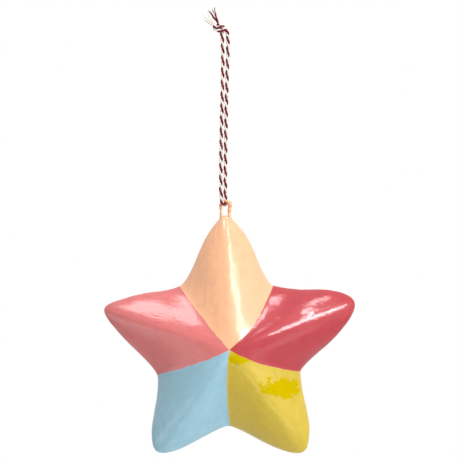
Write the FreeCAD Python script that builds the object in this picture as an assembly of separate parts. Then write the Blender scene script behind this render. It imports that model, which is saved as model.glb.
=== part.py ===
import FreeCAD, Part
import math
import os

# A hand-painted papier-mache star that hangs on a loop of two-ply cotton twine.
# Millimetres. +Z is up, +Y runs away from the viewer, +X is to the viewer's right.
# The origin is where a hook or twig carries the loop, between its two strands and just under the knot.

V = FreeCAD.Vector

# Star, seen from the front.
tip_reach = 60.0            # from the star's middle to the tip of a plain arm
corner_reach = 35.0         # from the star's middle to a plain inner corner
star_half_depth = 21.0      # from the middle plane to the front or back peak

# The star is made by hand, so its arms differ. Angles are in degrees clockwise from straight up. Each arm:
# its angle, how much longer it is than a plain arm, the radius of its rounded tip, how far the flank
# before it and the flank after it bulge outwards, and half the angle between its flanks.
ARMS = [
    {"name": "top", "angle": -2.2, "longer": 1.2, "tip": 3.8,
     "before": 1.0, "after": 1.2, "spread": 24},
    {"name": "right", "angle": 69.5, "longer": 1.0, "tip": 9.0,
     "before": -0.7, "after": 0.4, "spread": 3},
    {"name": "lower_right", "angle": 144.5, "longer": -1.8, "tip": 7.0,
     "before": 0.3, "after": 0.4, "spread": 18},
    {"name": "lower_left", "angle": 215.5, "longer": -1.8, "tip": 6.0,
     "before": 0.3, "after": 0.2, "spread": 23},
    {"name": "left", "angle": 287.5, "longer": 0.8, "tip": 6.0,
     "before": 0.1, "after": 0.6, "spread": 4},
]
# Each inner corner follows the arm of the same number: its angle, how much further out it lies than a
# plain corner, how far it is rounded back, and how far the valley that runs in from it bows clockwise.
CORNERS = [
    {"angle": 33.0, "further": -0.4, "round": 1.5, "bow": 2.8},
    {"angle": 107.5, "further": -1.4, "round": 1.5, "bow": 0.6},
    {"angle": 181.5, "further": 0.2, "round": 3.0, "bow": 0.6},
    {"angle": 250.0, "further": 0.0, "round": 4.0, "bow": -0.6},
    {"angle": 322.5, "further": 1.0, "round": 4.5, "bow": -0.6},
]
valley_reach = 36.0         # degrees from a valley to where its bow has died away
section_power = 1.2         # 1 is a straight ridge from peak to tip, 2 a round one
depth_power = 1.3           # the same for how full the rim is
peak_softening = 0.18       # how far the peak is rounded over, as a share of the rim
ridge_fade = 0.25           # where the arms have half faded into the dome, as a share of the rim
dome_radius = 38.0          # radius of the circle that the innermost rings come near to
peak_flat_share = 0.04      # the smallest ring, as a share of the rim
ring_points = 120           # points on each ring
ring_steps = 22             # rings from the front peak to the back peak

# Hanging eye: a bent wire in its coat of paint, its legs set in the star's top point.
eye_wire_radius = 0.6
eye_arch_radius = 2.15      # to the middle of the wire
eye_leg_lean = 5.0          # degrees that each leg leans in towards its foot
eye_stand = 4.5             # from the star's top point up to the centre of the arch
eye_buried = 9.0            # depth of the feet inside the star

# Twine: one length that runs from the knot down through the eye and up to the knot again.
twine_diameter = 1.6
loop_drop = 77.1            # from the origin down to the centre of the eye's arch
wrap_gap = 0.3              # between the twine and the wire that it hangs round
arc_share = 0.45            # of the shorter run, taken by each side of a bend

# Knot: both ends tied together, then frayed into single yarns.
knot_centre = V(-2.5, 0.0, 3.9)
knot_half_length = 3.0
knot_half_width = 2.15
knot_lean = 35.0            # degrees that its long axis leans up towards the left
knot_turn_radius = 2.0      # radius of the turn of twine that lies round its waist
knot_turn_lean = 24.0       # degrees that this turn leans against the long axis
yarn_root_depth = 0.5       # how deep each frayed yarn starts inside the knot
yarn_diameter = 0.36

twine_radius = twine_diameter / 2
eye_centre_z = -loop_drop
star_top_z = eye_centre_z - eye_stand


def direction(degrees):
    """Unit vector in the XZ plane, clockwise from straight up."""
    a = math.radians(degrees)
    return V(math.sin(a), 0, math.cos(a))


top_arm = ARMS[0]
star_centre = V(0, 0, star_top_z) - direction(top_arm["angle"]) * (tip_reach + top_arm["longer"])


def unit(v):
    return V(v).normalize()


def outwards(along):
    """The side of a flank that faces away from the star, where along runs clockwise round the rim."""
    return V(-along.z, 0, along.x)


def arm_points(arm, corner_before, corner_after):
    """The rim's points on one arm, clockwise, from the star's middle."""
    axis = direction(arm["angle"])
    clockwise = V(axis.z, 0, -axis.x)
    spread = math.radians(arm["spread"])
    reach = tip_reach + arm["longer"]
    tip_centre = axis * (reach - arm["tip"])
    shoulders = []
    for side in (-1, 1):
        lean = axis * math.sin(spread) + clockwise * (side * math.cos(spread))
        shoulders.append(tip_centre + lean * arm["tip"])
    points_in = flank(corner_before, shoulders[0], arm["before"])
    points_out = flank(corner_after, shoulders[1], -arm["after"])
    return points_in + [axis * reach] + points_out[::-1]


def corner_vertex(corner):
    return direction(corner["angle"]) * (corner_reach + corner["further"])


def flank(corner, shoulder, bulge):
    """Where a flank leaves its inner corner's rounding, its middle, and where the tip's rounding starts."""
    vertex = corner_vertex(corner)
    along = unit(shoulder - vertex)
    start = vertex + along * corner["round"]
    middle = (start + shoulder) * 0.5 + outwards(along) * bulge
    return [start, middle, shoulder]


def rim_points():
    """All the points of the star's outline, clockwise, each inner corner rounded off."""
    arms = []
    for k, arm in enumerate(ARMS):
        arms.append(arm_points(arm, CORNERS[k - 1], CORNERS[k]))
    points = []
    for k, corner in enumerate(CORNERS):
        following = arms[(k + 1) % len(arms)]
        between = (arms[k][-1] + following[0]) * 0.5
        points += arms[k] + [(corner_vertex(corner) + between) * 0.5]
    return points


def closed_curve(points):
    curve = Part.BSplineCurve()
    curve.interpolate(Points=points, PeriodicFlag=True)
    return curve


rounding_run = math.sqrt(1 + peak_softening ** 2) - peak_softening


def turn_of_share(share):
    """The turn at which a ring on the front has this share of the rim; ring_share is the way back."""
    rounded = (math.sqrt(share ** 2 + peak_softening ** 2) - peak_softening) / rounding_run
    return math.asin(rounded ** (section_power / 2))


def ring_share(turn):
    rounded = math.sin(turn) ** (2 / section_power)
    return math.sqrt((rounded * rounding_run + peak_softening) ** 2 - peak_softening ** 2)


def valley_bow(p):
    """How far the valleys' bows move a rim point's line of travel clockwise, half-way out."""
    heading = math.degrees(math.atan2(p.x, p.z))
    bow = 0.0
    for corner in CORNERS:
        apart = abs((heading - corner["angle"] + 180) % 360 - 180)
        near = min(apart / valley_reach, 1.0)
        bow += corner["bow"] * math.cos(near * math.pi / 2) ** 2
    return bow


def star_ring(rim, turn):
    """One closed ring of the star; turn runs from 0 at the front peak to 180 degrees at the back peak.
    A ring is the rim scaled by its share, and its arms fade towards a circle as the share falls."""
    share = ring_share(turn)
    depth = star_half_depth * abs(math.cos(turn)) ** (2 / depth_power)
    y = -math.copysign(depth, math.cos(turn))
    fade = (1 + ridge_fade) * share / (share + ridge_fade)
    points = []
    for p in rim:
        circle = unit(p) * dome_radius
        clockwise = V(circle.z, 0, -circle.x) / dome_radius
        sideways = clockwise * (valley_bow(p) * 4 * share * (1 - share))
        points.append(star_centre + (circle + (p - circle) * fade) * share + sideways + V(0, y, 0))
    return Part.Wire([closed_curve(points).toShape()])


def star_body():
    """The star as one solid, lofted through its rings from the front peak to the back."""
    rim = closed_curve(rim_points()).toShape().discretize(Number=ring_points + 1)[:-1]
    first_turn = turn_of_share(peak_flat_share)
    rings = []
    for k in range(ring_steps + 1):
        turn = first_turn + (math.pi - 2 * first_turn) * k / ring_steps
        rings.append(star_ring(rim, turn))
    return Part.makeLoft(rings, True, False)


def tube(path, radius):
    """A round bar along a wire."""
    edge = path.Edges[0]
    start, along = edge.valueAt(edge.FirstParameter), edge.tangentAt(edge.FirstParameter)
    profile = Part.Wire([Part.makeCircle(radius, start, along)])
    solid = path.makePipeShell([profile], True, False)
    return solid.Solids[0]


def hanging_eye():
    """The wire: one leg up, over the arch, and the other leg down. The arch runs a little past its
    half circle on each side, so that the legs leave it tangent and lean in towards their feet."""
    lean = math.radians(eye_leg_lean)
    shoulder = V(eye_arch_radius * math.cos(lean), 0, eye_centre_z - eye_arch_radius * math.sin(lean))
    fall = shoulder.z - (star_top_z - eye_buried)
    foot = shoulder - V(fall * math.tan(lean), 0, fall)
    crown = V(0, 0, eye_centre_z + eye_arch_radius)
    left_foot, left_shoulder = V(-foot.x, 0, foot.z), V(-shoulder.x, 0, shoulder.z)
    edges = [
        Part.LineSegment(left_foot, left_shoulder).toShape(),
        Part.Arc(left_shoulder, crown, shoulder).toShape(),
        Part.LineSegment(shoulder, foot).toShape(),
    ]
    return tube(Part.Wire(edges), eye_wire_radius)


def wrap_points():
    """The twine's way round the top of the eye: corners of an octagon in the YZ plane, front to back,
    while it drifts from the left strand to the right one."""
    radius = eye_wire_radius + twine_radius + wrap_gap
    half_side = radius * math.tan(math.radians(22.5))
    centre_z = eye_centre_z + eye_arch_radius - wrap_gap
    drift = [-1.70, -1.25, -0.60, 0.05, 0.15, 0.10]
    ring = [
        (-radius, half_side), (-radius, -half_side), (-half_side, -radius),
        (half_side, -radius), (radius, -half_side), (radius, half_side),
    ]
    return [V(x, y, centre_z + z) for x, (y, z) in zip(drift, ring)]


def twine_route():
    """The twine's points from the left side of the knot, down, round the eye and up to the knot's right
    side. The points near the eye are placed from the eye, and the others from the origin."""
    low, middle, high = eye_centre_z + 6.6, eye_centre_z + 16.1, eye_centre_z + 29.1
    left = [
        V(-1.60, 0.00, 2.60), V(-1.12, -0.10, -3.00), V(-1.06, -0.15, -13.00), V(-1.42, -0.20, -30.00),
        V(-1.86, -0.45, high), V(-2.02, -0.95, middle), V(-2.05, -1.40, low),
    ]
    right = [
        V(0.05, 1.38, low), V(0.12, 0.90, middle), V(0.22, 0.45, high), V(0.52, 0.20, -30.00),
        V(0.98, 0.10, -13.00), V(1.34, 0.05, -3.00), V(1.16, 0.00, 1.20), V(0.30, -0.10, 4.10),
        V(-1.50, -0.20, 5.20),
    ]
    return left + wrap_points() + right


def rounded_path(points, label=None):
    """Straight runs between the points, joined by tangent arcs as large as the runs allow."""
    edges, here, radii = [], points[0], []
    for before, corner, after in zip(points, points[1:], points[2:]):
        back, ahead = unit(before - corner), unit(after - corner)
        setback = arc_share * min(before.distanceToPoint(corner), corner.distanceToPoint(after))
        turn = math.pi - back.getAngle(ahead)
        radius = setback / math.tan(turn / 2)
        radii.append(radius)
        start, end = corner + back * setback, corner + ahead * setback
        centre = corner + unit(back + ahead) * (radius / math.cos(turn / 2))
        middle = centre + unit(corner - centre) * radius
        edges.append(Part.LineSegment(here, start).toShape())
        edges.append(Part.Arc(start, middle, end).toShape())
        here = end
    edges.append(Part.LineSegment(here, points[-1]).toShape())
    if label:
        print(label, "bend radii:", " ".join("%.1f" % r for r in radii))
    return Part.Wire(edges)


def twine_tube():
    path = rounded_path(twine_route(), "twine")
    solid = tube(path, twine_radius)
    print("twine length %.1f, volume over section times length %.4f"
          % (path.Length, solid.Volume / (math.pi * twine_radius ** 2 * path.Length)))
    return solid


def knot_placement():
    """Puts the knot's long axis, made along X, at its lean, rising to the left."""
    return FreeCAD.Placement(knot_centre, FreeCAD.Rotation(V(0, 1, 0), knot_lean))


def twine_knot():
    """The pulled-tight knot: a long lump with one turn of twine standing proud round its waist."""
    core = Part.makeSphere(1.0)
    stretch = FreeCAD.Matrix()
    stretch.scale(V(knot_half_length, knot_half_width, knot_half_width))
    core = core.transformGeometry(stretch)
    turn_axis = V(1, 0, math.tan(math.radians(knot_turn_lean)))
    turn = Part.makeTorus(knot_turn_radius, twine_radius, V(0, 0, 0), turn_axis)
    knot = core.fuse(turn)
    knot.Placement = knot_placement()
    return knot


def yarn(points):
    return tube(rounded_path(points), yarn_diameter / 2)


def burgundy_yarn_ends():
    """Yarns of the burgundy ply, standing up from the knot's upper left side."""
    root = V(-3.55, 0.0, 5.60)
    bends = [
        [V(-0.40, -0.25, 1.60), V(-2.30, -0.30, 4.20), V(-4.05, -0.45, 7.00)],
        [V(-0.25, 0.30, 1.75), V(-1.95, 0.45, 4.35), V(-3.45, 0.75, 6.80)],
        [V(0.12, -0.20, 1.70), V(-0.95, -0.60, 4.40), V(-2.30, -1.30, 7.50)],
        [V(0.35, 0.25, 1.60), V(-0.75, 0.30, 4.60), V(-1.50, 0.20, 8.55)],
    ]
    return fan_of_yarns(root, bends)


def white_yarn_ends():
    """Yarns of the natural ply, fanned out lower to the left."""
    root = V(-4.60, 0.0, 4.30)
    bends = [
        [V(-1.10, -0.42, 1.30), V(-3.40, -0.60, 3.10), V(-7.00, -0.90, 5.40)],
        [V(-1.00, 0.42, 1.40), V(-2.90, 0.80, 3.60), V(-5.60, 1.60, 6.30)],
        [V(-1.25, 0.00, 0.60), V(-3.00, -0.20, 1.90), V(-4.70, 0.20, 3.80)],
        [V(-0.70, -0.85, 1.50), V(-2.10, -1.40, 4.10), V(-3.80, -1.90, 7.30)],
        [V(-0.60, 0.85, 1.20), V(-1.50, 1.00, 2.90), V(-2.50, 1.20, 4.90)],
    ]
    return fan_of_yarns(root, bends)


def fan_of_yarns(root, bends):
    """Separate yarns that all rise from feet sunk inside the knot near one root."""
    yarns = []
    for steps in bends:
        foot = root + V(yarn_root_depth + steps[0].x / 2, steps[0].y, -yarn_root_depth)
        yarns.append(yarn([foot] + [root + s for s in steps]))
    return yarns


def outside(solid, others):
    """What is left of a solid once others are cut out of it, keeping its largest piece."""
    left = solid
    for other in others:
        left = left.cut(other)
    return max(left.Solids, key=lambda s: s.Volume)


def build():
    eye = hanging_eye()
    knot = twine_knot()
    knot_solid = knot.Solids[0]
    burgundy = [outside(y, [knot_solid]) for y in burgundy_yarn_ends()]
    white = [outside(y, [knot_solid]) for y in white_yarn_ends()]
    return {
        "star_body": outside(star_body(), [eye]),
        "hanging_eye": eye,
        "twine_loop": outside(twine_tube(), [knot_solid]),
        "twine_knot": knot_solid,
        "burgundy_yarn_ends": Part.makeCompound(burgundy),
        "white_yarn_ends": Part.makeCompound(white),
    }


os.makedirs("parts", exist_ok=True)
for node, shape in build().items():
    assert shape.isValid(), node
    box = shape.BoundBox
    print("%-20s %2d solids  volume %9.2f  x %.1f..%.1f  y %.1f..%.1f  z %.1f..%.1f" % (
        node, len(shape.Solids), shape.Volume, box.XMin, box.XMax, box.YMin, box.YMax, box.ZMin, box.ZMax))
    shape.exportStep(os.path.join("parts", node + ".step"))
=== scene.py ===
# %% [markdown]
# # A painted papier-mache star on a loop of twine
#
# The part is an ornament: a rounded five-armed star of pasted paper, brushed with five colours
# of satin paint. A painted wire eye stands in its top point, and a loop of two-ply cotton twine
# runs through the eye and is tied off in a knot, with the ends frayed out.
#
# The construction is fixed elsewhere. This file loads it as a frame, puts every piece where the
# frame says, and gives each one its real surface. Lengths are worked out in millimetres, which
# suit an object of this size, and turned into Blender's metres when a mesh is made.

import math

import bpy
import numpy as np
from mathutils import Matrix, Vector


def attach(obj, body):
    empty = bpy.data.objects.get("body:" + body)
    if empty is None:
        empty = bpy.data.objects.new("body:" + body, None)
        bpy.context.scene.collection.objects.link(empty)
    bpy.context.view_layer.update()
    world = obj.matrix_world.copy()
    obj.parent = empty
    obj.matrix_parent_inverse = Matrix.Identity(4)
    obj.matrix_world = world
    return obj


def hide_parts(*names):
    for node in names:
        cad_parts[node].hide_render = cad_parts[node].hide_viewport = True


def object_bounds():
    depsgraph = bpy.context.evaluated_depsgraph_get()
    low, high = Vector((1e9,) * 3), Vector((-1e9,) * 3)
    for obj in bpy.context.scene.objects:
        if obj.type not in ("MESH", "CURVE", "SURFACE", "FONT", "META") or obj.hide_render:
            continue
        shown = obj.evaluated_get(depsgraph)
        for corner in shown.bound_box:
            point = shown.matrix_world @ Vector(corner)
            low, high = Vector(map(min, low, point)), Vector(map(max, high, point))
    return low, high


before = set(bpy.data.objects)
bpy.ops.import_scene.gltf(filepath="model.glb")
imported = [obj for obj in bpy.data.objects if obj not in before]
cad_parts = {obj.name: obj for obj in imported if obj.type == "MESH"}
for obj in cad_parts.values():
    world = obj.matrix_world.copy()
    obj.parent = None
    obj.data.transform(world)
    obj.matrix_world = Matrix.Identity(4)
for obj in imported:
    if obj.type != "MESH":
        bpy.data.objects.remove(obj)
cad_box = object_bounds()
MM = 0.001
scene = bpy.context.scene
scene.view_settings.view_transform = "Standard"
print("frame nodes:", sorted(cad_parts))

# %% [markdown]
# ## The camera
#
# A long lens far away keeps the star's outline close to a plain front view, as it is in a
# catalogue picture. The picture's scale fixes the lens: so many millimetres for each pixel, at
# the star's middle plane.

# %% The camera
MM_PER_PIXEL = 0.46
PICTURE_SIDE = 460         # pixels
ORIGIN_PIXEL = (225.2, 38.0)
CAMERA_DISTANCE = 1.2      # metres


def from_pixel(across, down):
    """Millimetres right of and above the origin, for a pixel of the picture."""
    return (across - ORIGIN_PIXEL[0]) * MM_PER_PIXEL, (ORIGIN_PIXEL[1] - down) * MM_PER_PIXEL


view_x, view_z = from_pixel(PICTURE_SIDE / 2, PICTURE_SIDE / 2)
camera_data = bpy.data.cameras.new("camera")
camera_data.sensor_width = 36
camera_data.lens = camera_data.sensor_width * CAMERA_DISTANCE / (PICTURE_SIDE * MM_PER_PIXEL * MM)
camera = bpy.data.objects.new("camera", camera_data)
camera.location = (view_x * MM, -CAMERA_DISTANCE, view_z * MM)
camera.rotation_euler = (math.radians(90), 0, 0)
scene.collection.objects.link(camera)
scene.camera = camera
print("lens %.0f mm, looking at x %.1f, z %.1f mm" % (camera_data.lens, view_x, view_z))

# %% [markdown]
# ## Tubes along a line
#
# The eye, the knot and every yarn of the twine are tubes. A tube is a circle carried along a
# line, square to the line's direction. All the rings are one array: line points by turn angles.
# The star is made of closed rings too, so one function numbers the faces of both.

# %% Tubes along a line


def unit(vectors):
    return vectors / np.linalg.norm(vectors, axis=-1, keepdims=True)


def across_line(vectors, along):
    """The part of each vector that is square to the line there, one unit long."""
    return unit(vectors - np.sum(vectors * along, axis=-1, keepdims=True) * along)


def run_along(line):
    """Length along a line at each of its points."""
    return np.concatenate([[0], np.cumsum(np.linalg.norm(np.diff(line, axis=0), axis=1))])


def ring_faces(rings, sides):
    """Faces of a stack of closed rings, whose two end points are numbered after the last ring.
    Quads join point j of ring i to ring i + 1 and to point j + 1, wrapping round; then come a fan
    from the first end point and a fan from the second."""
    i, j = np.meshgrid(np.arange(rings - 1), np.arange(sides), indexing="ij")
    k = (j + 1) % sides
    here, beyond = i * sides, (i + 1) * sides
    quads = np.stack([here + j, here + k, beyond + k, beyond + j], -1).reshape(-1, 4)
    j, k = np.arange(sides), np.roll(np.arange(sides), -1)
    first_end, last_ring = np.full(sides, rings * sides), (rings - 1) * sides
    first_fan = np.stack([first_end, k, j], -1)
    last_fan = np.stack([first_end + 1, last_ring + j, last_ring + k], -1)
    return [quads, first_fan, last_fan]


def tube(line, side, radius, sides):
    """Vertices, faces and surface places of one closed tube.
    A ring is line + radius * (cos(turn) * first + sin(turn) * second), where first points to side,
    and second is square to it and to the line. A middle point closes each end as a fan."""
    along = unit(np.gradient(line, axis=0))
    first = across_line(np.broadcast_to(side, line.shape), along)
    second = np.cross(along, first)
    turn = np.linspace(0, 2 * np.pi, sides, endpoint=False)
    ring = np.cos(turn)[None, :, None] * first[:, None] + np.sin(turn)[None, :, None] * second[:, None]
    points = line[:, None] + radius[:, None, None] * ring
    done = run_along(line)
    place = np.stack(np.broadcast_arrays(done[:, None], np.cos(turn)[None], np.sin(turn)[None]), -1)
    vertices = np.concatenate([points.reshape(-1, 3), line[:1], line[-1:]])
    places = np.concatenate([place.reshape(-1, 3), [[done[0], 0, 0]], [[done[-1], 0, 0]]])
    return vertices, ring_faces(len(line), sides), places


def joined(parts):
    """Several tubes as one set of vertices, faces and places: each tube's faces are renumbered by
    the vertices of the tubes before it."""
    vertices, faces, places = zip(*parts)
    before = np.cumsum([0] + [len(points) for points in vertices])
    renumbered = [block + shift for blocks, shift in zip(faces, before) for block in blocks]
    return np.concatenate(vertices), renumbered, np.concatenate(places)


def make_piece(name, vertices, faces, materials, places=None, slots=None):
    """A shown object from vertices in millimetres and blocks of faces, shaded smooth. The places
    along and round its surface are kept as the attribute thread."""
    mesh = bpy.data.meshes.new(name)
    mesh.from_pydata((vertices * MM).tolist(), [], [face for block in faces for face in block.tolist()])
    mesh.polygons.foreach_set("use_smooth", np.ones(len(mesh.polygons), bool))
    for material in materials:
        mesh.materials.append(material)
    if slots is not None:
        mesh.polygons.foreach_set("material_index", slots)
    if places is not None:
        mesh.attributes.new("thread", "FLOAT_VECTOR", "POINT").data.foreach_set("vector", places.ravel())
    mesh.update()
    piece = bpy.data.objects.new(name, mesh)
    scene.collection.objects.link(piece)
    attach(piece, "root")
    print("%s: %d triangles" % (name, len(mesh.loops) - 2 * len(mesh.polygons)))
    return piece


# %% [markdown]
# ## The way of the twine
#
# One length of twine makes the loop: it comes out of the knot, runs down in front of the eye's
# wire, under it through the hole, and up behind to the knot again. The star's weight pulls it
# straight, so the route is a few long stretches and a tight turn of the wire's own size. The
# points between the two ends of the loop are the ones that the construction uses. Blender's
# NURBS curve of order 3 turns them into one smooth line, which passes inside the corners.
#
# The route goes on at both ends, into the knot: the left strand leans up through it, and the right
# one crosses in front, passes behind, comes round on the right, crosses in front again lower down
# and curls out on the left. A real knot is drawn tight by pulling, and a route of points gives
# the same shape without a simulation.

# %% The way of the twine
EYE_Z = -77.1              # middle of the eye's arch
ROUTE_STEP = 0.14          # from one point of the route to the next
left_end_in_knot = [(-3.50, 0.00, 6.55), (-2.70, 0.35, 5.60), (-1.90, 0.50, 4.20)]
loop_points = [
    (-1.60, 0.00, 2.60), (-1.12, -0.10, -3.00), (-1.06, -0.15, -13.00), (-1.42, -0.20, -30.00),
    (-1.86, -0.45, EYE_Z + 29.1), (-2.02, -0.95, EYE_Z + 16.1), (-2.05, -1.40, EYE_Z + 6.6),
    (-1.70, -1.70, EYE_Z + 2.55), (-1.25, -1.70, EYE_Z + 1.15), (-0.60, -0.70, EYE_Z + 0.15),
    (0.05, 0.70, EYE_Z + 0.15), (0.15, 1.70, EYE_Z + 1.15), (0.10, 1.70, EYE_Z + 2.55),
    (0.05, 1.38, EYE_Z + 6.6), (0.12, 0.90, EYE_Z + 16.1), (0.22, 0.45, EYE_Z + 29.1),
    (0.52, 0.20, -30.00), (0.98, 0.10, -13.00), (1.34, 0.05, -3.00), (1.16, 0.00, 1.20),
]
right_end_in_knot = [
    (0.95, -0.25, 2.60), (0.60, -0.80, 3.90), (-0.50, -1.50, 4.85), (-2.00, -1.90, 5.05),
    (-3.40, -1.10, 4.80), (-3.60, 0.50, 4.40), (-2.70, 1.70, 3.80), (-1.20, 1.80, 3.20),
    (0.00, 0.80, 2.90), (-0.10, -0.80, 3.00), (-1.30, -1.75, 3.25), (-2.80, -1.60, 3.20),
    (-4.00, -1.00, 3.50), (-4.90, -0.70, 4.30), (-5.30, -0.50, 5.40),
]


def evenly(line, step):
    """The same line with its points the same distance apart."""
    done = run_along(line)
    places = np.linspace(0, done[-1], max(2, round(done[-1] / step) + 1))
    return np.stack([np.interp(places, done, line[:, axis]) for axis in range(3)], -1)


def smooth_route(points, name):
    """Points along the NURBS curve of order 3 that has these control points, evenly spaced."""
    data = bpy.data.curves.new(name, "CURVE")
    data.dimensions = "3D"
    data.resolution_u = 24
    spline = data.splines.new("NURBS")
    spline.points.add(len(points) - 1)
    for control, (x, y, z) in zip(spline.points, points):
        control.co = (x, y, z, 1)
    spline.order_u = 3
    spline.use_endpoint_u = True
    guide = bpy.data.objects.new(name, data)
    mesh = bpy.data.meshes.new_from_object(guide)
    line = np.empty(len(mesh.vertices) * 3)
    mesh.vertices.foreach_get("co", line)
    line = line.reshape(-1, 3)
    bpy.data.meshes.remove(mesh)
    bpy.data.objects.remove(guide)
    bpy.data.curves.remove(data)
    return evenly(line, ROUTE_STEP)


route = smooth_route(left_end_in_knot + loop_points + right_end_in_knot, "route")
print("route %.1f mm, %d points" % (ROUTE_STEP * (len(route) - 1), len(route)))

# %% [markdown]
# ## Two plies, each of several yarns
#
# The twine is two plies twisted round each other, one burgundy and one natural white. Each ply is
# itself a few fine yarns twisted the other way, which is what keeps a twine from unwinding. Modelling
# every yarn as its own tube gives the true ropy outline and the slanted bands of colour, which a
# striped texture on one smooth tube never does.
#
# The yarn's middle line is the route, plus a slow turn for its ply, plus a faster turn for its place
# in the ply. The turning needs a pair of directions that doesn't itself turn about the route, so the
# frame below takes any fixed direction, measures how much that turns, and turns it back.

# %% A frame that doesn't turn about its line


def steady_frame(line):
    """Two directions square to the line that turn about it as little as can be.
    A fixed vector is flattened against the line at every point, choosing of many the one that is
    never along the line. What it still turns from point to point is added up and taken back off."""
    along = unit(np.gradient(line, axis=0))
    tries = unit(np.random.default_rng(5).normal(size=(400, 3)))
    fixed = tries[np.abs(along @ tries.T).max(axis=0).argmin()]
    first = across_line(np.broadcast_to(fixed, line.shape), along)
    second = np.cross(along, first)
    step = np.sum(np.diff(first, axis=0) * (second[1:] + second[:-1]) / 2, axis=1)
    back = -np.concatenate([[0], np.cumsum(step)])[:, None]
    return np.cos(back) * first + np.sin(back) * second, np.cos(back) * second - np.sin(back) * first


route_first, route_second = steady_frame(route)
print("steady frame made over %d points" % len(route))

# %% The plies and their yarns
PLY_PITCH = 5.5            # one full turn of a ply
PLY_OFFSET = 0.40          # from the route to the middle of a ply
YARN_PITCH = 2.7           # one full turn of a yarn in its ply, the other way
YARN_OFFSET = 0.245        # from the middle of a ply to the middle of a yarn
YARN_SIDES = 7
PLIES = {                  # turn at the start, number of yarns, radius of a yarn
    "burgundy": (0, 4, 0.29),
    "white": (np.pi, 5, 0.215),
}
KNOT_FRONT = np.array([-2.1, -1.7, 5.2])    # where the burgundy ply faces the front, in the knot
KNOT_ROLL_IN = 9.0         # length over which the plies roll to face that way
UNEVEN = {                 # how far each measure wanders, and over about how many millimetres
    "ply turn": (0.25, 14),
    "yarn turn": (0.30, 9),
    "yarn spread": (0.12, 5),
    "yarn thickness": (0.10, 3),
}
FRONT = np.array([0.0, -1.0, 0.0])
place_on_route = np.arange(len(route)) * ROUTE_STEP


def slow_noise(places, wave, seed):
    """Smooth noise between -1 and 1 along a line: a few sine waves near one wavelength, added up."""
    random = np.random.default_rng(seed)
    waves = wave * random.uniform(0.6, 2.2, 5)
    phases = random.uniform(0, 2 * np.pi, 5)
    return np.sin(2 * np.pi * places[:, None] / waves + phases).mean(axis=1) * 1.6


def uneven(measure, places, seed):
    """The wander of one of the twine's measures at these places along it."""
    size, wave = UNEVEN[measure]
    return size * slow_noise(places, wave, seed)


def knot_roll(turned):
    """Extra turn of both plies inside the knot, so that the burgundy one lies in front in its middle:
    none before the strand goes in, growing evenly over the last KNOT_ROLL_IN millimetres before that
    middle. turned is how far the plies have turned without it."""
    half = len(route) // 2 + 1
    middle = half + int(np.linalg.norm(route[half:] - KNOT_FRONT, axis=1).argmin())
    wanted = math.atan2(route_second[middle] @ FRONT, route_first[middle] @ FRONT)
    short = (wanted - turned[middle] + np.pi) % (2 * np.pi) - np.pi
    return short * np.clip((place_on_route - place_on_route[middle]) / KNOT_ROLL_IN + 1, 0, 1)


ply_turn = uneven("ply turn", place_on_route, 3) - 2 * np.pi * place_on_route / PLY_PITCH
ply_turn = ply_turn + knot_roll(ply_turn)
print("the plies turn %.0f times along the route" % abs(ply_turn[-1] / (2 * np.pi)))

# %% The yarns of one stretch


def yarn_line(start, stop, phase, yarn, count, seed):
    """Middle line of one yarn between two points of the route, and the direction from its ply's middle.
    ply = route + PLY_OFFSET * outward, outward turned by ply_turn, once in each PLY_PITCH;
    yarn = ply + spread * (cos(turn) * outward + sin(turn) * sideways), turning the other way."""
    here = slice(start, stop)
    s = place_on_route[here]
    turn = (phase + ply_turn[here])[:, None]
    outward = np.cos(turn) * route_first[here] + np.sin(turn) * route_second[here]
    sideways = np.cos(turn) * route_second[here] - np.sin(turn) * route_first[here]
    turn = (2 * np.pi * (s / YARN_PITCH + yarn / count) + uneven("yarn turn", s, seed))[:, None]
    from_ply = np.cos(turn) * outward + np.sin(turn) * sideways
    spread = YARN_OFFSET * (1 + uneven("yarn spread", s, seed + 40))
    return route[here] + PLY_OFFSET * outward + spread[:, None] * from_ply, from_ply


def twisted_twine(start, stop, seed):
    """All the yarns of both plies over one stretch of the route, with a material slot for each ply."""
    tubes, slots = [], []
    for slot, (phase, count, thickness) in enumerate(PLIES.values()):
        for yarn in range(count):
            line, side = yarn_line(start, stop, phase, yarn, count, seed + 10 * slot + yarn)
            radius = thickness * (1 + uneven("yarn thickness", place_on_route[start:stop], seed + yarn))
            vertices, faces, places = tube(line, side, radius, YARN_SIDES)
            tubes.append((vertices, faces, places))
            slots.append(np.full(sum(map(len, faces)), slot))
    return *joined(tubes), np.concatenate(slots)


# %% [markdown]
# ## Cotton
#
# Cotton yarn is matt, and its fibres catch light at the edges as a soft sheen. Its colour is never
# even: fine fibres lie at a slant and there are lighter and darker stretches. The fibres follow the
# yarn, so they read the attribute thread, which holds the length along a yarn and the turn round it;
# the stretches are taken from the place on the object.

# %% Helpers for materials


def new_material(name):
    """A new material, its node tree and its one shader."""
    material = bpy.data.materials.new(name)
    material.use_nodes = True
    return material, material.node_tree, material.node_tree.nodes["Principled BSDF"]


def add_node(tree, kind, inputs=None, **settings):
    """A node with its settings made and its inputs set, or linked where the value is a socket."""
    node = tree.nodes.new(kind)
    for name, value in settings.items():
        setattr(node, name, value)
    for name, value in (inputs or {}).items():
        if isinstance(value, bpy.types.NodeSocket):
            tree.links.new(value, node.inputs[name])
        else:
            node.inputs[name].default_value = value
    return node


def math_node(tree, operation, *values, clamp=False):
    """The result of one sum, each value a number or a socket."""
    inputs = dict(enumerate(values))
    return add_node(tree, "ShaderNodeMath", inputs, operation=operation, use_clamp=clamp).outputs[0]


def times(tree, first, second):
    return math_node(tree, "MULTIPLY", first, second)


def one_minus(tree, value):
    return math_node(tree, "SUBTRACT", 1.0, value)


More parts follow.
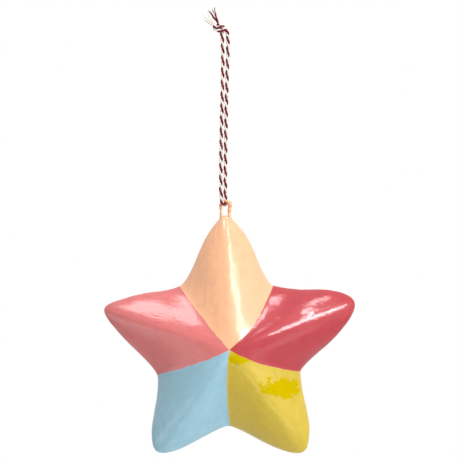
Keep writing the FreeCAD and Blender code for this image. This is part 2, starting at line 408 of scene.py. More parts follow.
def noise(tree, vector, scale, detail=2.0, roughness=0.5):
    inputs = {"Vector": vector, "Scale": scale, "Detail": detail, "Roughness": roughness}
    return add_node(tree, "ShaderNodeTexNoise", inputs).outputs["Fac"]


def ramp(tree, value, low, high, to_low=0.0, to_high=1.0, smooth=True):
    """Value carried from the range low to high onto to_low to to_high, and held at both ends."""
    inputs = {"Value": value, "From Min": low, "From Max": high, "To Min": to_low, "To Max": to_high}
    kind = "SMOOTHSTEP" if smooth else "LINEAR"
    return add_node(tree, "ShaderNodeMapRange", inputs, interpolation_type=kind, clamp=True).outputs[0]


def blend_colour(tree, factor, first, second, kind="MIX"):
    node = tree.nodes.new("ShaderNodeMix")
    node.data_type = "RGBA"
    node.blend_type = kind
    for socket, value in zip((node.inputs[0], node.inputs[6], node.inputs[7]), (factor, first, second)):
        if isinstance(value, bpy.types.NodeSocket):
            tree.links.new(value, socket)
        else:
            socket.default_value = value
    return node.outputs[2]


def colour(red, green, blue):
    """A colour as seen on a screen, from 0 to 255, as the linear values that a shader takes."""
    seen = np.array([red, green, blue]) / 255
    linear = np.where(seen <= 0.04045, seen / 12.92, ((seen + 0.055) / 1.055) ** 2.4)
    return (*linear.tolist(), 1.0)


# %% Cotton


def cotton(name, light, dark, sheen):
    """Matt spun cotton: slanted fibres round the yarn, and slow lighter and darker stretches."""
    material, tree, shader = new_material(name)
    thread = add_node(tree, "ShaderNodeAttribute", attribute_name="thread").outputs["Vector"]
    axes = add_node(tree, "ShaderNodeSeparateXYZ", {"Vector": thread}).outputs
    turn = math_node(tree, "ARCTAN2", axes[2], axes[1])
    slant = math_node(tree, "MULTIPLY_ADD", axes[0], 9.0, times(tree, turn, 5.0))
    stretched = add_node(tree, "ShaderNodeCombineXYZ", {
        "X": times(tree, axes[0], 0.35), "Y": axes[1], "Z": axes[2]}).outputs[0]
    hairs = noise(tree, stretched, 3.2, 4.0, 0.65)
    ridges = math_node(tree, "SINE", math_node(tree, "MULTIPLY_ADD", hairs, 5.0, slant))
    coords = add_node(tree, "ShaderNodeTexCoord").outputs["Object"]
    patches = noise(tree, coords, 420.0, 2.0)
    stretches = math_node(tree, "MULTIPLY_ADD", patches, 0.9, 0.05)
    tone = math_node(tree, "MULTIPLY_ADD", ridges, 0.14, stretches, clamp=True)
    tree.links.new(blend_colour(tree, tone, dark, light), shader.inputs["Base Color"])
    height = math_node(tree, "MULTIPLY_ADD", ridges, 0.5, hairs)
    bump = add_node(tree, "ShaderNodeBump", {"Height": height, "Strength": 0.5, "Distance": 0.05 * MM})
    tree.links.new(bump.outputs[0], shader.inputs["Normal"])
    shader.inputs["Roughness"].default_value = 0.92
    shader.inputs["Specular IOR Level"].default_value = 0.25
    shader.inputs["Sheen Weight"].default_value = sheen
    shader.inputs["Sheen Roughness"].default_value = 0.5
    return material


burgundy_cotton = cotton("burgundy_cotton", colour(140, 22, 52), colour(72, 4, 26), 0.08)
white_cotton = cotton("white_cotton", colour(244, 239, 229), colour(220, 211, 196), 0.15)
print("cotton made in burgundy and natural white")

# %% [markdown]
# ## The loop and the knot
#
# The loop is the route between the two places where the strands go into the knot. The knot is the
# rest of the route, both ends of it, so the plies run on into it without a break.

# %% The loop and the knot
KNOT_FOOT_Z = 1.5
OVERLAP = 2                # route points that the knot shares with the loop at each strand
TWINE_SEED = 20
inside_knot = route[:, 2] > KNOT_FOOT_Z
crossings = np.flatnonzero(inside_knot[1:] != inside_knot[:-1]) + 1
loop_start, loop_stop = int(crossings[0]), int(crossings[1])

vertices, faces, places, slots = twisted_twine(loop_start, loop_stop, TWINE_SEED)
twine = make_piece("twine", vertices, faces, [burgundy_cotton, white_cotton], places, slots)
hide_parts("twine_loop")

ends = [
    twisted_twine(0, loop_start + OVERLAP, TWINE_SEED),
    twisted_twine(loop_stop - OVERLAP, len(route), TWINE_SEED)]
vertices, faces, places = joined([end[:3] for end in ends])
slots = np.concatenate([end[3] for end in ends])
knot = make_piece("knot", vertices, faces, [burgundy_cotton, white_cotton], places, slots)
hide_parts("twine_knot")

# %% [markdown]
# ## Frayed ends
#
# Beyond the knot the plies have come apart into their yarns, and each yarn springs its own way with
# a kink left from the twist. Each is a tube along its own short curve, thinner to its end.

# %% Frayed ends
FRAY_RADIUS, FRAY_STEP, FRAY_SIDES = 0.26, 0.1, 8
KINK = 0.16                # how far the kinks swing out


def frayed_yarn(points, seed):
    """One loose yarn: a smooth curve led by its points, with a small kink of its old twist on it.
    s runs from 0 at the knot to 1 at the loose end, where the yarn is a little over half as thick."""
    line = evenly(smooth_route(points, "yarn"), FRAY_STEP)
    s = np.linspace(0, 1, len(line))
    along = unit(np.gradient(line, axis=0))
    side = across_line(np.broadcast_to(-FRONT, line.shape), along)
    other = np.cross(along, side)
    random = np.random.default_rng(seed)
    kink = KINK * s * (1 - 0.4 * s)
    turn = 2 * np.pi * (s * random.uniform(2.0, 3.4) + random.uniform())
    line = line + (kink * np.cos(turn))[:, None] * side + (kink * np.sin(turn))[:, None] * other
    radius = FRAY_RADIUS * (1 - 0.45 * s ** 3) * (1 + 0.12 * slow_noise(s * 10, 2.5, seed))
    return tube(line, side, radius, FRAY_SIDES)


burgundy_ends = [
    [(-3.0, 0.0, 5.9), (-3.6, -0.10, 7.2), (-5.9, -0.30, 9.8), (-7.7, -0.45, 12.6)],
    [(-3.0, 0.1, 5.9), (-3.5, 0.15, 7.4), (-5.4, 0.45, 10.0), (-7.0, 0.75, 12.4)],
    [(-2.9, 0.0, 5.9), (-3.3, -0.15, 7.5), (-4.5, -0.60, 10.1), (-5.9, -1.30, 13.1)],
    [(-2.9, 0.1, 5.9), (-3.2, 0.10, 7.6), (-4.3, 0.30, 10.3), (-5.0, 0.20, 14.1)],
]
white_ends = [
    [(-5.1, -0.5, 4.6), (-5.5, -0.55, 5.9), (-8.0, -0.70, 7.6), (-11.6, -0.90, 9.7)],
    [(-5.1, -0.4, 4.6), (-5.4, -0.35, 6.1), (-7.3, 0.50, 8.0), (-10.2, 1.40, 10.6)],
    [(-5.1, -0.6, 4.6), (-5.5, -0.60, 5.7), (-7.4, -0.50, 6.3), (-9.3, 0.00, 8.1)],
    [(-5.0, -0.6, 4.6), (-5.2, -0.70, 6.2), (-6.5, -1.30, 8.5), (-8.4, -1.90, 11.6)],
    [(-5.0, -0.4, 4.6), (-5.2, -0.30, 6.3), (-5.9, 0.30, 7.4), (-7.1, 0.90, 9.2)],
]


def make_fray(name, ends, material, node, seed):
    """All the loose yarns of one ply as one piece, in place of its frame node."""
    parts = [frayed_yarn(points, seed + k) for k, points in enumerate(ends)]
    vertices, faces, places = joined(parts)
    piece = make_piece(name, vertices, faces, [material], places)
    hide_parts(node)
    return piece


burgundy_fray = make_fray(
    "burgundy_fray", burgundy_ends, burgundy_cotton, "burgundy_yarn_ends", 60)
white_fray = make_fray("white_fray", white_ends, white_cotton, "white_yarn_ends", 70)

# %% [markdown]
# ## The star's shape
#
# The star was moulded by hand, so its five arms differ a little in length, lean and bulge. Its
# outline is a smooth closed curve through eight points for each arm: three on each flank, where it
# leaves its inner corner, its middle and where the tip's rounding starts, then the tip itself and
# the rounded inner corner after it.
#
# The body is a family of rings. Turn runs from the front peak, over the rim, to the back peak. Each
# ring is the outline scaled by its share, set at its own depth. Near the peaks the rings fade into
# circles, which melts the five ridges into a dome, as on the real star.

# %% The star's outline
TIP_REACH, CORNER_REACH, HALF_DEPTH = 60.0, 35.0, 21.0
STAR_TOP_Z = EYE_Z - 4.5
ARMS = [
    {"angle": -2.2, "longer": 1.2, "tip": 3.8, "before": 1.0, "after": 1.2, "spread": 24},
    {"angle": 69.5, "longer": 1.0, "tip": 9.0, "before": -0.7, "after": 0.4, "spread": 3},
    {"angle": 144.5, "longer": -1.8, "tip": 7.0, "before": 0.3, "after": 0.4, "spread": 18},
    {"angle": 215.5, "longer": -1.8, "tip": 6.0, "before": 0.3, "after": 0.2, "spread": 23},
    {"angle": 287.5, "longer": 0.8, "tip": 6.0, "before": 0.1, "after": 0.6, "spread": 4},
]
CORNERS = [
    {"angle": 33.0, "further": -0.4, "round": 1.5, "bow": 2.8},
    {"angle": 107.5, "further": -1.4, "round": 1.5, "bow": 0.6},
    {"angle": 181.5, "further": 0.2, "round": 3.0, "bow": 0.6},
    {"angle": 250.0, "further": 0.0, "round": 4.0, "bow": -0.6},
    {"angle": 322.5, "further": 1.0, "round": 4.5, "bow": -0.6},
]
VALLEY_REACH = 36.0        # degrees from a valley to where its bow has died away
SPAN_STEPS, RIM_POINTS = 40, 480


def direction(degrees):
    """Unit vector in the plane of the star, clockwise from straight up."""
    turn = math.radians(degrees)
    return np.array([math.sin(turn), math.cos(turn)])


def flank(corner, shoulder, bulge):
    """Three points of a flank: the end of its corner's rounding, its bulged middle, and its shoulder."""
    vertex = direction(corner["angle"]) * (CORNER_REACH + corner["further"])
    along = unit(shoulder - vertex)
    start = vertex + along * corner["round"]
    return [start, (start + shoulder) / 2 + np.array([-along[1], along[0]]) * bulge, shoulder]


def arm_points(arm, corner_before, corner_after):
    """Seven points round one arm, clockwise."""
    axis = direction(arm["angle"])
    clockwise = np.array([axis[1], -axis[0]])
    reach = TIP_REACH + arm["longer"]
    spread = math.radians(arm["spread"])
    up, out = arm["tip"] * math.sin(spread), arm["tip"] * math.cos(spread)
    shoulders = [axis * (reach - arm["tip"]) + up * axis + side * out * clockwise for side in (-1, 1)]
    before = flank(corner_before, shoulders[0], arm["before"])
    after = flank(corner_after, shoulders[1], -arm["after"])
    return before + [axis * reach] + after[::-1]


def closed_spline(points, steps):
    """A closed cubic curve through the points whose bending changes smoothly from span to span.
    The bending at the points solves one set of linear equations, each joining three neighbours."""
    count = len(points)
    after = np.linalg.norm(np.roll(points, -1, 0) - points, axis=1)
    before = np.roll(after, 1)
    same = np.eye(count)
    matrix = 2 * (before + after)[:, None] * same
    matrix += before[:, None] * np.roll(same, -1, axis=1) + after[:, None] * np.roll(same, 1, axis=1)
    slope = (np.roll(points, -1, 0) - points) / after[:, None]
    bend = np.linalg.solve(matrix, 6 * (slope - np.roll(slope, 1, 0)))
    b = np.linspace(0, 1, steps, endpoint=False)[None, :, None]
    a = 1 - b
    next_point, next_bend = np.roll(points, -1, 0)[:, None], np.roll(bend, -1, 0)[:, None]
    curve = a * points[:, None] + b * next_point
    curve = curve + after[:, None, None] ** 2 / 6 * ((a ** 3 - a) * bend[:, None] + (b ** 3 - b) * next_bend)
    return curve.reshape(-1, 2)


def rim_curve(count):
    """The whole outline, clockwise, at count even steps."""
    arms = [arm_points(arm, CORNERS[k - 1], CORNERS[k]) for k, arm in enumerate(ARMS)]
    points = []
    for k, corner in enumerate(CORNERS):
        vertex = direction(corner["angle"]) * (CORNER_REACH + corner["further"])
        between = (arms[k][-1] + arms[(k + 1) % len(arms)][0]) / 2
        points += arms[k] + [(vertex + between) / 2]
    curve = closed_spline(np.array(points), SPAN_STEPS)
    closed = np.concatenate([curve, curve[:1]])
    done = run_along(closed)
    places = np.linspace(0, done[-1], count, endpoint=False)
    return np.stack([np.interp(places, done, closed[:, axis]) for axis in range(2)], -1)


top_arm = ARMS[0]
star_centre = np.array([0.0, STAR_TOP_Z]) - direction(top_arm["angle"]) * (TIP_REACH + top_arm["longer"])
rim = rim_curve(RIM_POINTS)
print("star centre x %.2f, z %.2f mm; rim of %d points" % (*star_centre, len(rim)))

# %% The star's surface
SECTION_POWER, DEPTH_POWER = 1.2, 1.3
PEAK_SOFTENING, RIDGE_FADE, DOME_RADIUS = 0.18, 0.25, 38.0
RINGS = 178


def valley_bow():
    """How far the surface is moved clockwise, half-way out, at each rim point: each valley's own bow
    at the valley, dying away as a squared cosine towards the ridges beside it."""
    heading = np.degrees(np.arctan2(rim[:, 0], rim[:, 1]))
    bow = np.zeros(len(rim))
    for corner in CORNERS:
        apart = (heading - corner["angle"] + 180) % 360 - 180
        near = np.clip(np.abs(apart) / VALLEY_REACH, 0, 1)
        bow += corner["bow"] * np.cos(near * np.pi / 2) ** 2
    return bow[:, None]


def star_surface(turn):
    """Points of the star for an array of turns, as an array of rings by rim points.
    share rises from 0 to 1 and falls again, depth goes from the front peak to the back one, and
    ring = share * (circle + fade * (rim - circle)), with fade near 0 at the peaks."""
    run = math.sqrt(1 + PEAK_SOFTENING ** 2) - PEAK_SOFTENING
    rounded = np.sin(turn) ** (2 / SECTION_POWER)
    share = np.sqrt((rounded * run + PEAK_SOFTENING) ** 2 - PEAK_SOFTENING ** 2)[:, None, None]
    depth = -np.sign(np.cos(turn)) * HALF_DEPTH * np.abs(np.cos(turn)) ** (2 / DEPTH_POWER)
    fade = (1 + RIDGE_FADE) * share / (share + RIDGE_FADE)
    circle = unit(rim) * DOME_RADIUS
    clockwise = np.stack([circle[:, 1], -circle[:, 0]], -1) / DOME_RADIUS
    sideways = valley_bow() * clockwise * 4 * share * (1 - share)
    flat = star_centre + share * (circle + fade * (rim - circle)) + sideways
    return np.stack([flat[..., 0], np.broadcast_to(depth[:, None], flat.shape[:2]), flat[..., 1]], -1)


turns = np.linspace(0, np.pi, RINGS + 2)[1:-1]
star_points = star_surface(turns)
peaks = np.array([[star_centre[0], depth, star_centre[1]] for depth in (-HALF_DEPTH, HALF_DEPTH)])
print("star surface: %d rings of %d points" % star_points.shape[:2])

# %% [markdown]
# ## Handmade unevenness
#
# Pasted paper dries a little lumpy. Lumps that a finger would feel are real geometry here, so that
# the outline and the highlights wander as they do on the real star. The lumps are a sum of sine waves
# in random directions, added along the surface's outward direction.

# %% Handmade unevenness
RELIEF = [                 # height, wavelength, number of waves, seed
    (0.075, 18, 24, 1),
    (0.018, 7, 32, 2),
    (0.007, 3.2, 40, 3),
]


def lumps(points, wave, count, seed):
    """Smooth bumps about one unit high at most places: sine waves of about one length, in all directions."""
    random = np.random.default_rng(seed)
    ways = unit(random.normal(size=(count, 3))) * (2 * np.pi / (wave * random.uniform(0.7, 1.5, (count, 1))))
    phases = random.uniform(0, 2 * np.pi, count)
    waves = np.sin(points.reshape(-1, 3) @ ways.T + phases)
    return waves.sum(axis=1).reshape(points.shape[:-1]) / math.sqrt(count)


def outward_of_grid(points):
    """Outward direction at every point of the ring grid, from its neighbours along and round it."""
    round_it = np.roll(points, -1, 1) - np.roll(points, 1, 1)
    over_it = np.gradient(points, axis=0)
    return unit(np.cross(round_it, over_it))


relief = sum(height * lumps(star_points, wave, count, seed) for height, wave, count, seed in RELIEF)
away_from_peaks = np.sin(turns)[:, None] ** 0.5
star_points = star_points + (relief * away_from_peaks)[..., None] * outward_of_grid(star_points)
print("relief from %.2f to %.2f mm" % (relief.min(), relief.max()))

# %% [markdown]
# ## Paint on the star
#
# Five fields of satin paint meet in the middle of the front and of the back, and each border runs out
# to an inner corner. They were brushed by hand, so a border wanders by half a millimetre, and the
# strokes run along each arm. The fields could be painted as an image, but they have a plain rule, so
# nodes work them out from the place on the star: which side of each border line a point lies.

# %% The fields of paint
BORDERS = [
    {"angle": 34.5, "bow": 2.8}, {"angle": 108.2, "bow": 1.8}, {"angle": 179.6, "bow": 1.2},
    {"angle": 249.7, "bow": -0.9}, {"angle": 321.0, "bow": -0.6},
]
FIELDS = [
    {"name": "red", "colour": colour(178, 38, 50), "arm": 69.5},
    {"name": "yellow", "colour": colour(200, 172, 32), "arm": 144.5},
    {"name": "blue", "colour": colour(146, 190, 207), "arm": 215.5},
    {"name": "pink", "colour": colour(215, 109, 107), "arm": 287.5},
    {"name": "peach", "colour": colour(243, 180, 136), "arm": -2.2},
]
BORDER_REACH = 35.0
MEET_PIXEL = (229.3, 347.8)
MEET_X, MEET_Z = from_pixel(*MEET_PIXEL)


def place_in_star(tree):
    """Millimetres right of and above the point where the borders meet, and the depth."""
    coords = add_node(tree, "ShaderNodeTexCoord").outputs["Object"]
    shift = add_node(tree, "ShaderNodeMapping", {
        "Vector": coords, "Location": (-MEET_X, 0, -MEET_Z), "Scale": (1 / MM, 1 / MM, 1 / MM)}).outputs[0]
    axes = add_node(tree, "ShaderNodeSeparateXYZ", {"Vector": shift}).outputs
    return shift, axes[0], axes[1], axes[2]


def beside_line(tree, x, z, degrees):
    """How far a point lies clockwise of the line that leaves the middle at this angle."""
    turn = math.radians(degrees)
    return math_node(tree, "SUBTRACT", times(tree, x, math.cos(turn)), times(tree, z, math.sin(turn)))


def field_masks(tree, place, x, z):
    """One mask for each field: 1 inside it, with a wandering brushed edge. Each border leaves its
    straight line by its bow times an arch, 4 * share * (1 - share) of the way to the corner."""
    reach = add_node(tree, "ShaderNodeVectorMath", {0: add_node(tree, "ShaderNodeCombineXYZ", {
        "X": x, "Y": 0.0, "Z": z}).outputs[0]}, operation="LENGTH").outputs["Value"]
    share = math_node(tree, "DIVIDE", reach, BORDER_REACH, clamp=True)
    still_to_go = one_minus(tree, share)
    arch = times(tree, times(tree, share, 4.0), still_to_go)
    wander = noise(tree, place, 0.16, 3.0, 0.55)
    wander = times(tree, math_node(tree, "SUBTRACT", wander, 0.5), 1.6)
    held = times(tree, wander, ramp(tree, reach, 0.0, 6.0, 0.15, 1.0))
    sides = []
    for border in BORDERS:
        beside = beside_line(tree, x, z, border["angle"])
        bowed = math_node(tree, "MULTIPLY_ADD", arch, -border["bow"], beside)
        sides.append(ramp(tree, math_node(tree, "ADD", bowed, held), -0.10, 0.10))
    masks = []
    for k, side in enumerate(sides):
        short_of_next = one_minus(tree, sides[(k + 1) % len(sides)])
        masks.append(times(tree, side, short_of_next))
    return masks


def stroke_place(tree, masks, x, z):
    """The place measured along and across the strokes of whichever arm the point is on."""
    axis_x, axis_z = 0.0, 0.0
    for mask, field in zip(masks, FIELDS):
        turn = math.radians(field["arm"])
        axis_x = math_node(tree, "MULTIPLY_ADD", mask, math.sin(turn), axis_x)
        axis_z = math_node(tree, "MULTIPLY_ADD", mask, math.cos(turn), axis_z)
    along = math_node(tree, "MULTIPLY_ADD", x, axis_x, times(tree, z, axis_z))
    across = math_node(tree, "SUBTRACT", times(tree, x, axis_z), times(tree, z, axis_x))
    return along, across


print("%d borders and %d fields" % (len(BORDERS), len(FIELDS)))

# %% [markdown]
# ## The paint itself
#
# Brushed paint has ridges left by the bristles, long one way and narrow the other. They do three
# things: they lift the surface, they let a thinner film show a little lighter, and they break the
# edge of every highlight into ticks. So one stroke pattern feeds the bump, the colour and the
# roughness. A second, broader pattern stands for the overlapping dabs of the brush.

# %% The paint itself
FINE_STROKE = (6.5, 0.95, 3.0)      # length and width in millimetres, and how much finer detail
BROAD_STROKE = (15.0, 2.4, 2.0)
# the last pattern tears the edge of the spots of painted dark reflection
SPOT_EDGE_STROKE = (5.0, 1.1, 2.0)
PAINT_BUMP = 0.05


def stroke_pattern(tree, along, across, depth, stroke):
    """Noise drawn out along the strokes, which have a length and a width in millimetres."""
    length, width, detail = stroke
    stretched = add_node(tree, "ShaderNodeCombineXYZ", {
        "X": times(tree, along, 1 / length),
        "Y": times(tree, across, 1 / width),
        "Z": times(tree, depth, 1 / width)}).outputs[0]
    return noise(tree, stretched, 1.0, detail, 0.6)


DARK_REFLECTION_SPOTS = [             # where the two spots of painted dark reflection lie, with half their sizes in millimetres
    {"pixel": (281.0, 387.5), "half_width": 8.8, "half_height": 4.9},
    {"pixel": (241.0, 356.5), "half_width": 5.0, "half_height": 3.4},
]
# deeper yellow of the painted dark reflection
DARK_REFLECTION_YELLOW = colour(194, 169, 0)


def painted_dark_reflections(tree, yellow, place, x, depth, z):
    """Painted dark reflection on the yellow, on the front: 1 inside each oval spot, its edge torn by strokes
    that run across the arm. The yellow there is deeper and left without varnish, where the varnish would
    mirror nothing bright."""
    torn = stroke_pattern(tree, x, z, depth, SPOT_EDGE_STROKE)
    blotch = noise(tree, place, 0.16, 2.0)
    ragged = math_node(tree, "MULTIPLY_ADD", torn, 1.5, math_node(tree, "MULTIPLY_ADD", blotch, 1.8, -1.65))
    front = ramp(tree, depth, -1.0, 1.0, 1.0, 0.0)
    total = 0.0
    for spot in DARK_REFLECTION_SPOTS:
        at_x, at_z = from_pixel(*spot["pixel"])
        wide, high = spot["half_width"], spot["half_height"]
        far_x = math_node(tree, "MULTIPLY_ADD", x, 1 / wide, (MEET_X - at_x) / wide)
        far_z = math_node(tree, "MULTIPLY_ADD", z, 1 / high, (MEET_Z - at_z) / high)
        apart = math_node(tree, "MULTIPLY_ADD", far_x, far_x, times(tree, far_z, far_z))
        apart = math_node(tree, "ADD", math_node(tree, "SQRT", apart), ragged)
        total = math_node(tree, "MAXIMUM", total, ramp(tree, apart, 0.80, 1.05, 1.0, 0.0))
    return times(tree, times(tree, total, front), yellow)


def painted_star():
    """Varnished satin paint in five fields, all of it broken up by one pattern of brush strokes, with two
    spots of painted dark reflection on the yellow.
    """
    material, tree, shader = new_material("star_paint")
    place, x, depth, z = place_in_star(tree)
    masks = field_masks(tree, place, x, z)
    along, across = stroke_place(tree, masks, x, z)
    waver = times(tree, math_node(tree, "SUBTRACT", noise(tree, place, 0.09, 2.0), 0.5), 6.0)
    across = math_node(tree, "ADD", across, waver)
    fine = stroke_pattern(tree, along, across, depth, FINE_STROKE)
    broad = stroke_pattern(tree, along, across, depth, BROAD_STROKE)
    dabs = noise(tree, place, 0.22, 3.0, 0.6)

    base = FIELDS[-1]["colour"]
    for mask, field in zip(masks, FIELDS):
        base = blend_colour(tree, mask, base, field["colour"])
    film = math_node(tree, "ADD", times(tree, fine, 0.35), times(tree, broad, 0.65))
    film = ramp(tree, math_node(tree, "MULTIPLY_ADD", dabs, 0.5, film), 0.5, 1.0, 0.91, 1.07, smooth=False)
    grey = add_node(tree, "ShaderNodeCombineColor", {0: film, 1: film, 2: film}).outputs[0]
    base = blend_colour(tree, 1.0, base, grey, "MULTIPLY")
    # Painted dark reflection: two spots where the yellow is deeper and the varnish is left off.
    dark_reflection = painted_dark_reflections(tree, masks[1], place, x, depth, z)
    tree.links.new(blend_colour(tree, dark_reflection, base, DARK_REFLECTION_YELLOW), shader.inputs["Base Color"])
    varnished = one_minus(tree, dark_reflection)
    tree.links.new(varnished, shader.inputs["Coat Weight"])
    tree.links.new(times(tree, varnished, 0.25), shader.inputs["Specular IOR Level"])

    height = math_node(tree, "MULTIPLY_ADD", fine, 1.7, times(tree, broad, 1.5))
    height = math_node(tree, "MULTIPLY_ADD", dabs, 0.8, height)
    bump = add_node(tree, "ShaderNodeBump", {"Height": height, "Strength": 1.0, "Distance": PAINT_BUMP * MM})
    tree.links.new(bump.outputs[0], shader.inputs["Normal"])
    tree.links.new(bump.outputs[0], shader.inputs["Coat Normal"])
    strokes = math_node(tree, "MULTIPLY_ADD", fine, 0.5, times(tree, broad, 0.5))
    tree.links.new(ramp(tree, strokes, 0.3, 0.7, 0.34, 0.46, smooth=False), shader.inputs["Roughness"])
    tree.links.new(ramp(tree, strokes, 0.3, 0.7, 0.04, 0.09, smooth=False), shader.inputs["Coat Roughness"])
    return material


star_paint = painted_star()
star_vertices = np.concatenate([star_points.reshape(-1, 3), peaks])
star = make_piece("star", star_vertices, ring_faces(RINGS, len(rim)), [star_paint])
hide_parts("star_body")

# %% [markdown]
# ## The eye
#
# The eye is a bent wire with its legs set in the star's top point, dipped in the same peach paint.
# The paint has run and set in lumps, thick on the right leg, thin near the foot of the left one, and
# spreads where each leg enters the star. The line of the wire is the frame's own: a little over half
# a circle, with legs that leave it tangent. The lumps are a radius that changes along the line.

# %% The eye
ARCH_RADIUS, LEG_LEAN, LEG_BURIED = 2.15, 5.0, 2.5
EYE_STEP, EYE_SIDES = 0.12, 28
WIRE_RADIUS = 0.58
LEFT_FLARE, RIGHT_FLARE = 0.60, 0.70
FLARE_DROP, FLARE_SOFTNESS = 0.40, 0.45
ARCH_POINTS = 200
LEFT_LUMPS = [(4.3, 1.5, 0.12), (1.5, 0.8, -0.14)]      # up the leg, width, height
RIGHT_LUMPS = [(2.4, 0.7, 0.34), (5.0, 1.5, 0.46)]
WOBBLES = [(0.12, 4, 11), (0.10, 5, 12), (0.06, 4, 13)]     # size, wavelength, seed, for x, y and z


def eye_line(step):
    """The wire's middle line from the left foot over the arch to the right foot, evenly spaced."""
    lean = math.radians(LEG_LEAN)
    turn = np.linspace(math.pi + lean, -lean, ARCH_POINTS)
    arch = np.stack([np.cos(turn), 0 * turn, np.sin(turn)], -1) * ARCH_RADIUS + np.array([0, 0, EYE_Z])
    fall = arch[-1, 2] - (STAR_TOP_Z - LEG_BURIED)
    foot = arch[-1] - np.array([fall * math.tan(lean), 0, fall])
    left_foot = foot * np.array([-1, 1, 1])
    return evenly(np.concatenate([[left_foot], arch, [foot]]), step)


def hump(places, centre, width, height):
    """A smooth swelling at one place along a line."""
    return height * np.exp(-((places - centre) / width) ** 2)


def flare(height, width):
    """Extra radius of a leg that spreads into the star: none well above it, width well inside it."""
    return width / (1 + np.exp((height + FLARE_DROP) / FLARE_SOFTNESS))


eye = eye_line(EYE_STEP)
s = np.arange(len(eye)) * EYE_STEP
up_left, up_right = s - LEG_BURIED, s[-1] - LEG_BURIED - s
radius = WIRE_RADIUS + flare(up_left, LEFT_FLARE) + flare(up_right, RIGHT_FLARE)
radius += sum(hump(up_left, *lump) for lump in LEFT_LUMPS)
radius += sum(hump(up_right, *lump) for lump in RIGHT_LUMPS)
radius += 0.05 * slow_noise(s, 1.7, 8)
wobble = np.stack([size * slow_noise(s, wave, seed) for size, wave, seed in WOBBLES], -1)
vertices, faces, places = tube(eye + wobble, -FRONT, radius, EYE_SIDES)
print("eye wire %.1f mm long, %.2f to %.2f mm thick" % (s[-1], 2 * radius.min(), 2 * radius.max()))

# %% Paint on the eye


def painted_eye():
    """The star's peach paint, thicker: softer lumps, a gloss without the star's varnish coat, and a tone
    that wanders between a deeper and a lighter peach.
    """
    material, tree, shader = new_material("eye_paint")
    coords = add_node(tree, "ShaderNodeTexCoord").outputs["Object"]
    runs = noise(tree, coords, 700.0, 3.0, 0.5)
    grain = noise(tree, coords, 2600.0, 2.0, 0.5)
    tone = blend_colour(tree, ramp(tree, runs, 0.3, 0.7), colour(228, 154, 106), colour(242, 180, 136))
    tree.links.new(tone, shader.inputs["Base Color"])
    height = math_node(tree, "MULTIPLY_ADD", grain, 0.3, runs)
    bump = add_node(tree, "ShaderNodeBump", {"Height": height, "Strength": 0.6, "Distance": 0.15 * MM})
    tree.links.new(bump.outputs[0], shader.inputs["Normal"])
    tree.links.new(ramp(tree, grain, 0.3, 0.7, 0.22, 0.34), shader.inputs["Roughness"])
    return material


eye_piece = make_piece("eye", vertices, faces, [painted_eye()], places)
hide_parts("hanging_eye")

# %% [markdown]
# ## Light, world and floor
#
# A studio for small glossy things. The varnish mirrors whatever is bright, so what shines and what
# lights are kept apart. A tall narrow key light high on the right draws the crisp streaks along the
# ridges, and three white cards that only shine make the streaks of the right arm and of the valley
# beside the top one. Two fills that only light give those sides their colour without a streak of
# their own. A soft light on the upper left, a wall on each side and a low light in front do both, and
# one light behind serves the back.
#
# The world shows white to the camera and in reflections, and lights the object more weakly, so that
# colours render about as they are written. The floor is a pale sheet well below the hanging star,
# and it glows for the camera alone, so that it looks as pale as the surroundings from every side.

# %% The lights
AIM_Z = -142.6             # about the star's middle
AIM = Vector((view_x * MM, 0, AIM_Z * MM))


def soft_box(name, side_angle, height_angle, distance, size, power, lights=True, shines=True):
    """A lamp of this many metres by metres and watts, aimed at the star from side_angle degrees right
    of the camera and height_angle degrees up. One that lights brightens the colours, and one that
    shines is mirrored in the varnish."""
    side, up = math.radians(side_angle), math.radians(height_angle)
    data = bpy.data.lights.new(name, "AREA")
    data.shape = "RECTANGLE"
    data.size, data.size_y = size
    data.energy = power
    lamp = bpy.data.objects.new(name, data)
    lamp.location = AIM + distance * Vector((
        math.sin(side) * math.cos(up), -math.cos(side) * math.cos(up), math.sin(up)))
    lamp.rotation_euler = (AIM - lamp.location).to_track_quat("-Z", "Y").to_euler()
    lamp.visible_camera = False
    lamp.visible_diffuse = lights
    lamp.visible_glossy = shines
    scene.collection.objects.link(lamp)


soft_box("key_light", 38, 34, 1.0, (0.055, 0.46), 2.6)
soft_box("side_card", 46, 16, 1.0, (0.62, 0.24), 8.5, lights=False)
soft_box("valley_card", 36, 57, 1.0, (0.050, 0.24), 1.2, lights=False)
soft_box("valley_end_card", 53, 72, 1.0, (0.065, 0.14), 0.9, lights=False)
soft_box("side_fill", 48, 12, 1.0, (0.56, 0.30), 5.2, shines=False)
soft_box("high_fill", 38, 62, 1.0, (0.30, 0.46), 2.1, shines=False)
soft_box("upper_left_light", -44, 65, 1.0, (0.44, 0.34), 3.1)
soft_box("right_wall", 65, -16, 1.1, (0.76, 1.20), 0.8)
soft_box("left_wall", -62, -36, 1.0, (0.80, 0.70), 2.2)
soft_box("low_front_fill", 28, -48, 1.0, (1.30, 0.90), 4.4)
soft_box("back_fill", 180, 20, 1.0, (1.00, 0.80), 5.0)
print("%d lights" % len(bpy.data.lights))

# %% The world
WHITE = (1.0, 1.0, 1.0, 1.0)
WORLD_LIGHT = 0.34         # of the white that the camera and the varnish see

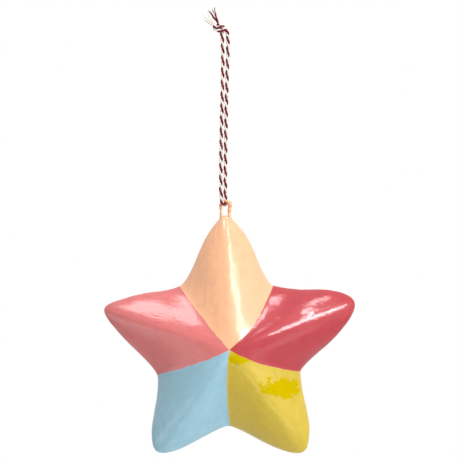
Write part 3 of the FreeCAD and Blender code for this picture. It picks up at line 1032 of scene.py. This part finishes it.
world = bpy.data.worlds.new("studio")
scene.world = world
world.use_nodes = True
tree = world.node_tree
lit = tree.nodes["Background"]
lit.inputs["Color"].default_value = WHITE
lit.inputs["Strength"].default_value = WORLD_LIGHT
seen = add_node(tree, "ShaderNodeBackground", {"Color": WHITE, "Strength": 1.0})
rays = add_node(tree, "ShaderNodeLightPath").outputs
shown = math_node(tree, "MAXIMUM", rays["Is Camera Ray"],
                  math_node(tree, "MAXIMUM", rays["Is Glossy Ray"], rays["Is Transmission Ray"]))
both = add_node(tree, "ShaderNodeMixShader", {0: shown, 1: lit.outputs[0], 2: seen.outputs[0]})
tree.links.new(both.outputs[0], tree.nodes["World Output"].inputs[0])
print("white world, lighting at %.2f" % WORLD_LIGHT)

# %% The floor
FLOOR_DROP, FLOOR_HALF = 0.55, 1.2     # metres below the star, and half a side
FLOOR_GLOW = 0.8           # share of the floor that the camera sees as pure white
PALE_GREYS = ((0.86, 0.86, 0.86, 1.0), (0.90, 0.90, 0.90, 1.0))


def floor_paper():
    """Pale matt paper with a faint grain, mixed with a white glow for the camera's own rays."""
    material, tree, shader = new_material("floor_paper")
    grain = noise(tree, add_node(tree, "ShaderNodeTexCoord").outputs["Object"], 60.0, 4.0)
    paper = blend_colour(tree, ramp(tree, grain, 0.3, 0.7), *PALE_GREYS)
    tree.links.new(paper, shader.inputs["Base Color"])
    shader.inputs["Roughness"].default_value = 0.8
    glow = add_node(tree, "ShaderNodeEmission", {"Color": WHITE, "Strength": 1.0})
    camera_sees = add_node(tree, "ShaderNodeLightPath").outputs["Is Camera Ray"]
    glowing = times(tree, camera_sees, FLOOR_GLOW)
    mixed = add_node(tree, "ShaderNodeMixShader", {0: glowing, 1: shader.outputs[0], 2: glow.outputs[0]})
    tree.links.new(mixed.outputs[0], tree.nodes["Material Output"].inputs[0])
    return material


floor_z = cad_box[0].z - FLOOR_DROP
corners = [(x * FLOOR_HALF, y * FLOOR_HALF, floor_z) for x, y in ((-1, -1), (1, -1), (1, 1), (-1, 1))]
floor_mesh = bpy.data.meshes.new("floor")
floor_mesh.from_pydata(corners, [], [(0, 1, 2, 3)])
floor_mesh.materials.append(floor_paper())
floor = bpy.data.objects.new("floor", floor_mesh)
scene.collection.objects.link(floor)
print("floor at z %.0f mm" % (floor_z / MM))
